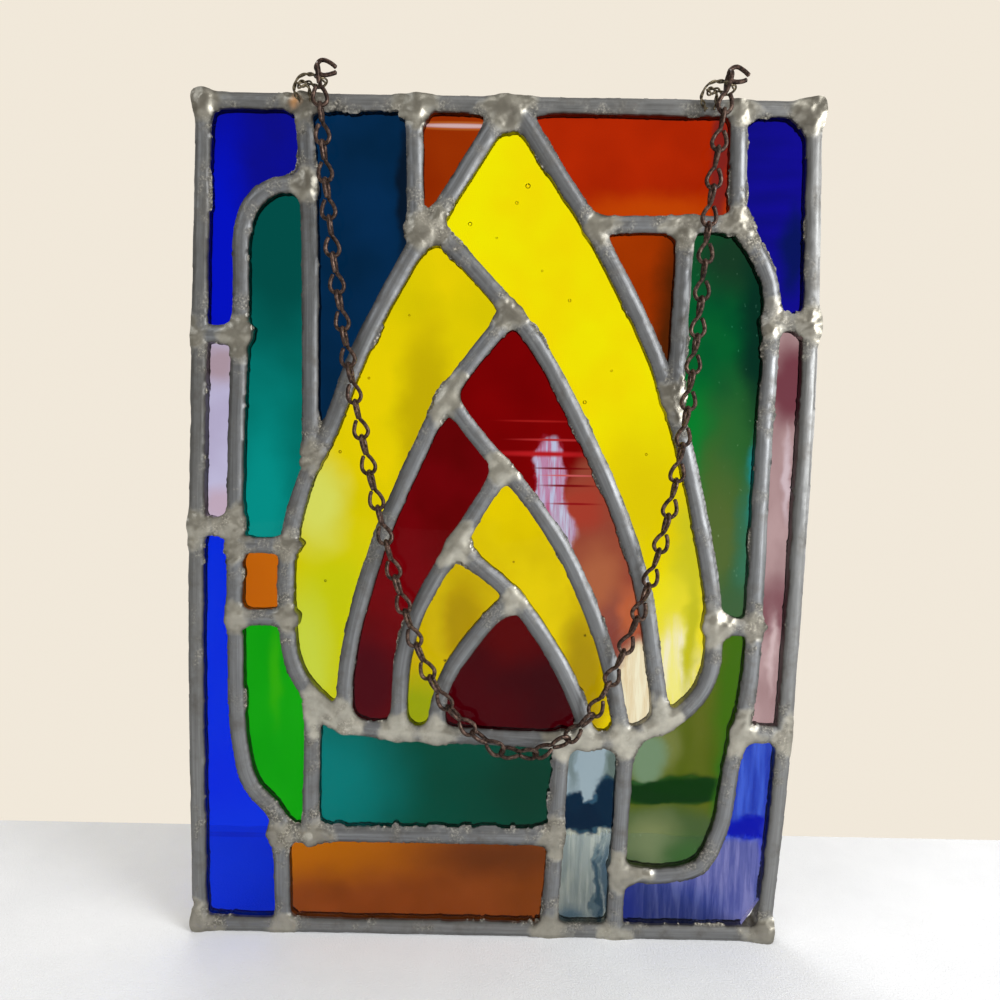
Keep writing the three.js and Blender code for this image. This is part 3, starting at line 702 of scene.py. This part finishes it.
def pane(node, finish, seed, bubbles):
    """A wavy front and back, flat sides, and any bubbles, as one mesh."""
    loop = outline_of(node)
    rim = []
    for a, b in zip(loop, loop[1:] + loop[:1]):
        steps = max(1, round(math.dist(a, b) / PANE_MESH))
        rim += [(a[0] + (b[0] - a[0]) * i / steps, a[1] + (b[1] - a[1]) * i / steps) for i in range(steps)]
    rim_points = np.array(rim)
    low, high = rim_points.min(0), rim_points.max(0)
    inner_x, inner_z = np.meshgrid(*(np.arange(a, b, PANE_MESH) for a, b in zip(low, high)))
    inner = np.column_stack([inner_x.ravel(), inner_z.ravel()])
    clear = np.array([((rim_points - p) ** 2).sum(1).min() > RIM_CLEARANCE for p in inner])
    spots = [Vector(p) for p in rim + inner[clear].tolist()]
    edges = [(i, (i + 1) % len(rim)) for i in range(len(rim))]
    flat, _, faces, _, _, _ = delaunay_2d_cdt(spots, edges, [], 1, 1e-5)
    xz = np.array([tuple(p) for p in flat])
    count = len(xz)
    points = np.concatenate([
        np.column_stack([xz[:, 0], -GLASS_FACE + waves(*xz.T, seed), xz[:, 1]]),
        np.column_stack([xz[:, 0], GLASS_FACE + waves(*xz.T, seed + 100), xz[:, 1]]),
    ])
    area = sum((flat[f[1]] - flat[f[0]]).cross(flat[f[2]] - flat[f[0]]) for f in faces)
    fronts = [f if area > 0 else f[::-1] for f in faces]
    there = {(f[i], f[(i + 1) % len(f)]) for f in fronts for i in range(len(f))}
    walls = [(a, a + count, b + count, b) for a, b in there if (b, a) not in there]
    every = fronts + [tuple(v + count for v in reversed(f)) for f in fronts] + walls
    with_bubbles = joined([(points, every), *(bubble(*place) for place in bubbles)])
    piece = make_piece("pane_" + node, *with_bubbles, finish, node)
    for polygon in list(piece.data.polygons)[2 * len(fronts) : 2 * len(fronts) + len(walls)]:
        polygon.use_smooth = False
    piece.data.set_sharp_from_angle(angle=CREASE)


# %% [markdown]
# ## The colours of the glass
#
# It is easiest to name the colour that the eye sees when pale light comes through a pane. The shader
# needs the share of red, green and blue light that gets through, so a small helper divides the seen
# colour by the colour of the air behind it.
#
# Each pane has two tones that flow into each other, then soft ovals with ragged edges. Some are stains:
# places where the sheet was rolled from another colour, or was streaked, or has a pale band. The others are
# painted light: painted shade beside the strips, painted shadow bands and the painted lit floor low down,
# and painted reflections and highlights.

# %% From the seen colour to the shader's
AIR = (0.88, 0.81, 0.7)  # the cream colour behind the panel


def tint(seen):
    """From a colour written as 0xRRGGBB."""
    seen = np.array([seen >> 16, seen >> 8 & 255, seen & 255]) / 255
    light = np.where(seen <= 0.04045, seen / 12.92, ((seen + 0.055) / 1.055) ** 2.4)
    return tuple(float(v) for v in np.clip(light / AIR, 0, 1))


# %% Glass finish
THIN_STREAK = 1.2


def glass_finish(name, *colors, flow=25, streak=(1, 1), spread=(0.35, 0.65), ragged=2, rough=0.02,
                 relief=0, relief_size=2, relief_stretch=(1, 1, 1), seeds=0):
    """Colors are two tones, then stains and painted light: right, up, half width, half height, tone or two,
    softness.
    """
    tones, stains_and_painted_light = colors[:2], colors[2:]
    finish, tree, shader = new_finish(name)
    here = tree.nodes.new("ShaderNodeTexCoord").outputs["Object"]
    swirl = noise(tree, 1 / (flow * MM), 2.5, 0.5, here, (streak[0], 1, streak[1]))
    color = ramp(tree, swirl, *zip(np.linspace(*spread, len(tones)), map(tint, tones)))
    if stains_and_painted_light:
        drift = add_node(tree, "ShaderNodeTexNoise", Vector=here, Scale=95, Detail=4, Roughness=0.5)
        shift = vector_math(tree, "SUBTRACT", drift.outputs["Color"], (0.5, 0.5, 0.5))
        shift = vector_math(tree, "MULTIPLY", shift, (ragged * 4 * MM,) * 3)
        warped = vector_math(tree, "ADD", here, shift)
        drawn = noise(tree, 260, 3, 0.6, here, (1.6, 1, 0.16))
    for x, z, half_x, half_z, tone, soft in stains_and_painted_light:
        # A thin streak stays straight: these are painted reflections of bright lines and painted shadow
        # lines.
        where = warped if half_z > THIN_STREAK else here
        where = vector_math(tree, "SUBTRACT", where, (x * MM, 0, z * MM))
        where = vector_math(tree, "DIVIDE", where, (half_x * MM, BIG, half_z * MM))
        far = vector_math(tree, "LENGTH", where, (0, 0, 0)).node.outputs["Value"]
        share = add_node(tree, "ShaderNodeMapRange", Value=far, From_Min=1 + soft, From_Max=1 - soft)
        share.interpolation_type = "SMOOTHSTEP"
        streaky = isinstance(tone, tuple)
        patch_tone = ramp(tree, drawn, *zip((0.44, 0.57), map(tint, tone))) if streaky else tint(tone)
        color = mix(tree, share.outputs[0], color, patch_tone)
    if seeds:
        # Seeds are pale specks of air or ash in the sheet.
        specks = noise(tree, 620, 2, 0.5, here, (1, 1, 0.6))
        color = mix(tree, ramp(tree, specks, (0.715, 0), (0.745, seeds)), color, tint(0xc4d6be))
    # A weak mirror image keeps the deep colours deep.
    feed(shader, Base_Color=color, Transmission_Weight=1, IOR=1.5, Specular_Tint=0.12, Roughness=rough)
    if relief:
        texture = noise(tree, 1 / (relief_size * MM), 3, 0.55, here, relief_stretch)
        feed(shader, Normal=bump(tree, texture, relief * MM))
    return finish


# %% The look of every pane
def look(*colors, **sheet):
    return colors, sheet


PANE_LOOKS = dict(
    blue_top_left=look(0x0c0d80, 0x080c96, (-100, -55, 9, 40, 0x0210be, 0.6)),
    # navy_top: the dark band on its right is painted shade beside the strip.
    navy_top=look(0x022442, 0x042b50, (-36, -30, 2.5, 22, 0x061628, 0.5)),
    # red_small_top: its thin pale pink streak is a painted reflection.
    red_small_top=look(0x8a2600, 0x983002, (-17, -9.2, 16, 1, 0xd0acac, 0.35), ragged=0.2),
    # red_top: the dark band on its right is painted shade beside the upright.
    red_top=look(0xa52202, 0xb42803, (50, -37, 26, 5, 0xbe4203, 0.9), (72.5, -20, 2.6, 22, 0x80221c, 0.5)),
    blue_top_right=look(0x0e0c7c, 0x120c92, (99, -50, 4, 14, 0x08145c, 0.6), streak=(0.4, 1.6), flow=12),
    lilac_left=look(
        0xb2aac8, 0xc0bcda, (-101, -92, 8, 7, 0xa8929e, 0.6), (-101, -142, 8, 6, 0xbea8ba, 0.6), rough=0.1,
        relief=0.15),
    teal_left=look(
        0x006c62, 0x027a72, (-80, -50, 22, 36, 0x004c46, 0.6), (-86, -140, 8, 26, 0x038c84, 0.7)),
    orange_square=look(0xb65a02, 0xbe6204),
    green_lower_left=look(0x049a04, 0x0ca006, (-81, -203, 2.2, 14, 0x2ca602, 0.7)),
    # blue_lower_left: the brighter blue low down is painted light, and the thin dark line is a painted shadow
    # line where the foot of the wall shows through.
    blue_lower_left=look(
        0x0126da, 0x032ce4, (-96, -284, 18, 24, 0x0232f6, 0.6), (-96, -262, 12, 0.5, 0x021ebe, 0.6)),
    teal_bottom=look(
        0x014a3a, 0x034434, (-66, -242, 26, 24, 0x027470, 0.7), (12, -243, 18, 20, 0x083a2a, 0.7)),
    # amber_bottom: the bright band near its top is painted light, and the thin dark line near its top is a
    # painted shadow line.
    amber_bottom=look(
        0x9e4c16, 0xb0561e, (-72, -267, 40, 10, 0xd67406, 0.8), (4, -268, 26, 7, 0x803e18, 0.8),
        (-30, -262.6, 70, 0.45, 0x5c2a0a, 0.5)),
    # clear_bottom: the dark navy bands are painted shadow, and the pale lower part is painted light, the lit
    # floor seen through.
    clear_bottom=look(
        0x8a9ea8, 0x96a8b0, (26, -230, 2.2, 12, 0x708082, 0.4), (42, -232, 3.6, 26, 0x5e6e68, 0.25),
        (32, -284, 30, 27.5, (0x969e94, 0xbabcaa), 0.03), (40.5, -281, 2.6, 22, 0x546870, 0.3),
        (36.2, -280, 1.2, 22, 0x425a64, 0.4), (34, -251.8, 30, 6.2, 0x072036, 0.1),
        (39.5, -248, 4, 9, 0x08243a, 0.15), (28, -247, 3, 5, 0x08243a, 0.2), (28, -289, 5, 3, 0x60767e, 0.8),
        ragged=3.4, rough=0.04, relief=0.25, relief_size=3, relief_stretch=(1.6, 1, 0.2)),
    # green_lower_right: the two dark bands are painted shadow, and the pale blobs are painted highlights.
    green_lower_right=look(
        0x4e5e0e, 0x5c661a, (86, -206, 9, 34, 0x3e6a08, 0.5), (60, -226, 5, 9, 0x70783c, 0.6),
        (54, -231, 6, 10, 0x708a6a, 0.4), (60, -266, 40, 17, 0x465c32, 0.2), (56, -261, 9, 9, 0x768054, 0.8),
        (70, -268, 9, 8, 0x3c602c, 0.8), (62, -243, 22, 4.6, 0x0a320c, 0.12),
        (70, -240.5, 14, 4.2, 0x083408, 0.2), (83, -243, 4.5, 20, 0x306812, 0.4), seeds=0.6,
        streak=(1.6, 0.4), flow=16, ragged=1.8),
    # violet_lower_right: the deep blue band is painted shadow, and the pale lilac streaks low down are
    # painted light, the lit floor seen through.
    violet_lower_right=look(
        0x2238a8, 0x3e5ccc, (80, -280, 60, 20, (0x50548e, 0x7c79a6), 0.1),
        (62, -287, 22, 11, (0x323e80, 0x5c6398), 0.4), (46, -286, 6, 12, 0x2e3c96, 0.6),
        (96, -256, 14, 4.4, 0x0410a8, 0.15), (98.5, -262, 3, 14, 0x1e2cb0, 0.4), streak=(3, 0.35), flow=9,
        spread=(0.42, 0.58), ragged=1.8, rough=0.04, relief=0.22, relief_size=3,
        relief_stretch=(1.6, 1, 0.25)),
    pink_right=look(
        0xa28283, 0xb89a9a, (101, -96, 10, 14, 0x743e48, 0.5), (98, -176, 10, 10, 0x84585e, 0.6),
        (100, -128, 1.3, 14, 0xceb8be, 0.6), (97, -190, 1.3, 12, 0xceb4b4, 0.7), flow=14, streak=(1.5, 0.7),
        rough=0.08),
    green_right=look(
        0x02502a, 0x055e2c, (80, -52, 16, 12, 0x163a24, 0.7), (89, -80, 7, 40, 0x063022, 0.6),
        (66, -122, 9, 26, 0x087c2c, 0.7), (77, -132, 5, 18, 0x546c16, 0.6), (80, -122, 9, 22, 0x2e642e, 0.8),
        (76, -152, 9, 24, 0x526832, 0.7), (88, -156, 5, 26, 0x367054, 0.7), (82, -178, 12, 10, 0x3e603a, 0.8),
        (88.5, -130, 2.2, 15, 0x1e8480, 0.5), flow=18, seeds=0.5),
    # amber_small: the dark band on its right is painted shade beside the strip.
    amber_small=look(0x963000, 0xa43601, (59, -78, 7, 34, 0x502004, 0.6)),
    # yellow_outer_right: the darker bands along its sides are painted shade, and the pale cream near its
    # lower end is a painted reflection.
    yellow_outer_right=look(
        0xf0d803, 0xf8e602, (50, -138, 16, 24, 0xdec806, 0.8), (68, -156, 7, 22, 0xccc41e, 0.6),
        (64, -192, 10, 24, 0xe6da32, 0.5), (63, -197, 8, 15, (0xf0e882, 0xf8f0c4), 0.35),
        (68, -186, 2.6, 20, 0xc4be1e, 0.6), flow=30, ragged=2.6),
    # yellow_outer_left: the darker band along its right side is painted shade.
    yellow_outer_left=look(
        0xd6c402, 0xe6ce03, (-28, -112, 9, 34, 0xc2ac04, 0.6), (-60, -190, 26, 40, 0xc4c604, 0.6),
        (-66, -140, 9, 15, 0xd4d85c, 0.7), (-70, -196, 8, 20, 0xc4d03e, 0.7), flow=30, ragged=2.2),
    # red_right: its patches and thin lines are a painted reflection: salmon, cream and blue-white with ripple
    # lines.
    red_right=look(
        0x700002, 0x7c0103, (36, -160, 19, 40, 0x924432, 0.15), (34, -166, 8, 12, 0xaa603e, 0.7),
        (28, -140, 9, 8, 0xa43c2c, 0.6), (40, -186, 6, 12, 0x8c4a3c, 0.7), (46, -178, 4, 9, 0xb8603c, 0.7),
        (34, -190, 6, 6, 0x782c2c, 0.7), (16, -131, 5.5, 15, (0xb85c7e, 0xbabeda), 0.12),
        (21, -149, 5, 11, (0xac7896, 0xc0c4de), 0.15), (12, -110, 12, 0.35, 0x9c1816, 0.6),
        (18, -116.5, 13, 0.4, 0xb02c2c, 0.6), (14, -121.5, 17, 0.9, 0xb21a1e, 0.7),
        (21, -126.5, 10, 0.35, 0x700408, 0.6), (24, -129, 9, 0.3, 0xc85a5a, 0.6),
        (23, -132.6, 9, 0.4, 0x78060c, 0.6), (25, -139, 8, 0.35, 0x8c0e14, 0.6),
        (50, -208, 10, 19, (0xe2cea6, 0xf0e8c8), 0.15), ragged=2.6),
    red_left=look(0x5c0204, 0x70030a, (-48, -205, 12, 18, 0x480510, 0.6)),
    # yellow_inner_right: the darker band along its inner side is painted shade.
    yellow_inner_right=look(0xd8be02, 0xe4ca02, (30, -205, 8, 30, 0xa88c04, 0.6)),
    # yellow_inner_left: the darker band on its right is painted shade.
    yellow_inner_left=look(
        0xc4a803, 0xd2b806, (-14, -184, 7, 14, 0xac8e02, 0.6), (-30, -214, 12, 12, 0x949e07, 0.7)),
    dark_red_centre=look(0x380208, 0x440108, (4, -186, 12, 10, 0x540103, 0.7)),
)
# Right, up, radius.
BUBBLES = dict(
    yellow_outer_right=[
        (-13.3, -42.4, 0.75), (6.5, -29.2, 0.95), (2.8, -35, 0.6), (21.8, -68, 0.6), (27.9, -103.1, 0.7),
        (12, -58, 0.4), (37, -92, 0.45), (50, -121, 0.5), (-4, -47, 0.4),
    ],
    yellow_outer_left=[(-48, -96, 0.5), (-58, -122, 0.6), (-63, -168, 0.5), (-34, -74, 0.4)],
    yellow_inner_left=[(-25, -174, 0.5), (-20, -196, 0.5)],
    yellow_inner_right=[(12, -178, 0.4), (30, -186, 0.5), (4, -160, 0.4)],
)
for seed, (name, (colors, sheet)) in enumerate(PANE_LOOKS.items()):
    finish = glass_finish(name + "_glass", *colors, **sheet)
    pane("glass_" + name, finish, seed, BUBBLES.get(name, ()))
print("panes", len(PANE_LOOKS))

# %% [markdown]
# ## Round wire
#
# The loops and the chain are bent from round wire. A ring of points is carried along the path, turned as
# little as possible so that it never twists, and capped at both ends.


# %% Wire along a path
def wire(path, radius, sides=8):
    """Points and faces of a round wire along a path of points."""
    heading = np.gradient(path, axis=0)
    heading /= np.linalg.norm(heading, axis=1)[:, None]
    side = np.cross(heading[0], (0.3, 0.2, 0.9))
    rings = []
    for spot, way in zip(path, heading):
        side = side - way * (side @ way)
        side /= np.linalg.norm(side)
        other = np.cross(way, side)
        angles = np.arange(sides) * math.tau / sides
        rings.append(spot + radius * (np.outer(np.cos(angles), side) + np.outer(np.sin(angles), other)))
    points = np.vstack([*rings, path[:1] - heading[0] * radius * 0.5, path[-1:] + heading[-1] * radius * 0.5])
    faces = []
    for i in range(len(path) - 1):
        for k in range(sides):
            a, b = i * sides + k, i * sides + (k + 1) % sides
            faces.append((a, b, b + sides, a + sides))
    last = (len(path) - 1) * sides
    for k in range(sides):
        faces.append((len(points) - 2, (k + 1) % sides, k))
        faces.append((len(points) - 1, last + k, last + (k + 1) % sides))
    return points, faces


# %% [markdown]
# ## The chain
#
# Each link of a jack chain is bent into a figure of eight whose two eyes stand at right angles, with the
# ends of the wire tucked in at the waist. The joints of the chain lie along the same bow as in the
# part's source, and one link is bent between each two of them.

# %% The bow
CHAIN_PLANE = -7.8
CHAIN_PITCH = 12.5
CHAIN_ENDS = [(-64.6, 6.4), (72.9, 6.2)]
CHAIN_BOW = [
    CHAIN_ENDS[0], (-61.5, -34), (-56.5, -75), (-46, -130), (-29, -190), (-17, -212), (6, -228), (28, -218),
    (42, -192), (57, -142), (64.5, -84), (68.5, -30), CHAIN_ENDS[1],
]
LOOSE_EYE = np.array([0.97, 0, -0.2]) * CHAIN_PITCH  # the cut link at each end leans this way
TWIST_FROM, TWIST_TO = 0.42, 0.62  # the chain turns by a quarter between these shares of the bow
WIRE_RADIUS = 0.72
BOW_STEP = 0.1
bow = smooth_line(CHAIN_BOW, BOW_STEP)
bow_length = BOW_STEP * (len(bow) - 1)
link_count = round(bow_length / CHAIN_PITCH)
stations = bow[np.linspace(0, len(bow) - 1, link_count + 1).round().astype(int)]
joints = np.column_stack([stations[:, 0], np.full(len(stations), CHAIN_PLANE), stations[:, 1]])
print("bow", round(bow_length), "mm,", link_count, "links")


# %% One link
LINK_OVERLAP = 0.35
EYE_HALF = 2.35
WIRE_STEP = 0.55


def link_wire(start, stop, turn, eyes="both"):
    """One link between two joints, or only one eye of it, turned about its own length."""
    pitch = np.linalg.norm(stop - start)
    half = pitch / 2 + LINK_OVERLAP
    wide, round_off = half - 2.4, half - 0.9
    first = [
        (-0.3, 0.1, 0.95), (-1.6, 0.05, 1.7), (-wide, 0, EYE_HALF), (-round_off, 0, 1.9), (-half, 0, 0.7),
        (-half, 0, -0.7), (-round_off, 0, -1.9), (-wide, 0, -EYE_HALF), (-1.6, 0.15, -1.5),
    ]
    waist = [(0, 0.45, -0.45)]
    second = [
        (1.6, 1.5, -0.15), (wide, EYE_HALF, 0), (round_off, 1.9, 0), (half, 0.7, 0), (half, -0.7, 0),
        (round_off, -1.9, 0), (wide, -EYE_HALF, 0), (1.6, -1.7, -0.05), (0.3, -0.95, -0.1),
    ]
    path = {"both": first + waist + second, "first": first + waist, "second": waist + second}[eyes]
    path = smooth_line([np.array(p) * chance.uniform(0.97, 1.03, 3) for p in path], WIRE_STEP)
    heading = (stop - start) / pitch
    sideways = np.cross(heading, (0, 1, 0))
    sideways /= np.linalg.norm(sideways)
    outwards = np.cross(heading, sideways)
    turn += chance.uniform(-0.12, 0.12)
    sideways, outwards = (math.cos(turn) * sideways + math.sin(turn) * outwards,
                          math.cos(turn) * outwards - math.sin(turn) * sideways)
    placed = (start + stop) / 2 + path @ np.array([heading, sideways, outwards])
    return wire(placed, WIRE_RADIUS)


links = [link_wire(joints[0] + LOOSE_EYE, joints[0], 0, "second")]
for i in range(link_count):
    share = np.clip((i / link_count - TWIST_FROM) / (TWIST_TO - TWIST_FROM), 0, 1)
    links.append(link_wire(joints[i], joints[i + 1], share**2 * (3 - 2 * share) * math.pi / 2))
links.append(link_wire(joints[-1], joints[-1] + LOOSE_EYE, math.pi / 2, "first"))


# %% Rusty iron
def rusty_iron(name, rust_color, bare_color):
    finish, tree, shader = new_finish(name)
    crust = noise(tree, 900, 5, 0.65)
    worn = noise(tree, 120, 3, 0.5)
    color = ramp(tree, crust, (0.35, (0.014, 0.01, 0.008)), (0.5, rust_color), (0.68, bare_color))
    dullness = ramp(tree, worn, (0.4, 0.36), (0.65, 0.6))
    feed(shader, Base_Color=color, Metallic=0.75, Roughness=dullness, Normal=bump(tree, crust, 0.2 * MM, 0.6))
    return finish


chain_iron = rusty_iron("chain_iron", (0.062, 0.036, 0.027), (0.19, 0.125, 0.095))
chain = make_piece("jack_chain", *joined(links), chain_iron, "chain")
print("chain faces", len(chain.data.polygons))

# %% [markdown]
# ## The wire loops
#
# Each loop is thin wire, doubled and twisted by hand, with its feet under the solder of the top edge. It
# passes through the end eye of the chain. Two strands are wound round its line.

# %% Loops
LOOP_STANDOFF = 4.8
LOOP_PATH = [
    (-6.5, 1.2, -10.2), (-8.6, -0.4, -6.6), (-6.6, -1.6, -2.9), (-3, -2.2, -2.3), (0, -3, -3.5),
    (2.4, -1.2, -4.2), (0.4, -0.1, -5.6), (-4, -0.6, -4.1), (-6.9, -1.4, -4.6), (-6.2, -2.2, -6.6),
    (-4, -1.2, -5.4), (-3.4, 1.2, -9.6),
]
STRAND_RADIUS = 0.34
LAY_RADIUS = 0.36  # of the middle of a strand
LAY_TURNS = 7.5
loop_wire = rusty_iron("loop_wire", (0.12, 0.095, 0.055), (0.3, 0.25, 0.16))
for node, (x, z) in zip(("hanging_loop_left", "hanging_loop_right"), CHAIN_ENDS):
    middle = smooth_line(np.array(LOOP_PATH) + (x, -LOOP_STANDOFF, z), 0.3)
    turns = np.linspace(0, LAY_TURNS * math.tau, len(middle))
    strands = []
    for phase in (0, math.pi):
        swing, bob = np.cos(turns + phase), np.sin(turns + phase)
        strands.append(wire(middle + LAY_RADIUS * np.column_stack([swing, bob, swing]), STRAND_RADIUS, 6))
    make_piece(node + "_wire", *joined(strands), loop_wire, node)

# %% [markdown]
# ## The room
#
# A pale canvas under the panel and cream air all round. The canvas ends just behind the panel, so its
# far edge looks like the foot of a wall. The main light is a window on the right, with weaker light from
# the left, the ceiling, low on the right and high behind. Lead needs something to reflect, so the air is
# dimmer in reflections than it is to the eye, and the lamps make the highlights.

# %% Floor
WALL_FOOT = 0.075
floor_mesh = bpy.data.meshes.new("floor")
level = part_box("border_bottom")[0].z - 0.2 * MM
corners = [(-2, -1.5, level), (2, -1.5, level), (2, WALL_FOOT, level), (-2, WALL_FOOT, level)]
floor_mesh.from_pydata(corners, [], [(0, 1, 2, 3)])
floor = bpy.data.objects.new("floor", floor_mesh)
scene.collection.objects.link(floor)
canvas, tree, shader = new_finish("canvas")
weave = ramp(tree, noise(tree, 30), (0.3, (0.63, 0.655, 0.7)), (0.7, (0.67, 0.695, 0.74)))
feed(shader, Base_Color=weave, Roughness=0.9, Normal=bump(tree, noise(tree, 1500), 0.2 * MM))
floor_mesh.materials.append(canvas)

# %% Air
world = bpy.data.worlds.new("air")
scene.world = world
world.use_nodes = True
tree = world.node_tree
ray = tree.nodes.new("ShaderNodeLightPath").outputs
mirrored = math_node(tree, "SUBTRACT", ray["Is Glossy Ray"], ray["Is Transmission Ray"])
dimmer = math_node(tree, "MAXIMUM", mirrored, math_node(tree, "MULTIPLY", ray["Is Diffuse Ray"], 0.15))
strength = add_node(tree, "ShaderNodeMapRange", Value=dimmer, To_Min=1, To_Max=0.2)
feed(tree.nodes["Background"], Color=AIR, Strength=strength.outputs[0])


# %% Lamps
def soft_lamp(name, place, target, size, power, color=(1, 1, 1)):
    """A large square lamp that faces its target."""
    lamp = bpy.data.lights.new(name, "AREA")
    lamp.shape = "RECTANGLE"
    lamp.size, lamp.size_y = size
    lamp.energy = power
    lamp.color = color
    holder = bpy.data.objects.new(name, lamp)
    holder.location = place
    holder.rotation_euler = (Vector(target) - Vector(place)).to_track_quat("-Z", "Y").to_euler()
    scene.collection.objects.link(holder)


middle = (0, 0, -0.15)
soft_lamp("window_right", (0.75, -0.5, 0.2), middle, (0.5, 0.7), 7)
soft_lamp("window_left", (-0.6, -0.6, 0.45), middle, (0.4, 0.4), 1.2, (0.9, 0.94, 1))
soft_lamp("low_right", (0.5, -0.4, -0.06), (0.06, 0, -0.2), (0.2, 0.2), 1.3)
soft_lamp("ceiling", (0.1, -0.35, 0.9), (0, -0.1, -0.3), (0.9, 0.5), 2.2)
soft_lamp("back_sky", (-0.4, 0.9, 1.6), middle, (0.6, 0.6), 8)

# %% Camera
camera = bpy.data.objects.new("camera", bpy.data.cameras.new("camera"))
scene.collection.objects.link(camera)
scene.camera = camera
camera.location = (-0.00011, -0.26643, -0.12225)
camera.rotation_euler = [math.radians(angle) for angle in (86.596, -1.0245, 0.3015)]
camera.data.sensor_width = 36
camera.data.lens = 27.04
camera.data.clip_start = 0.01
scene.view_settings.view_transform = "Standard"
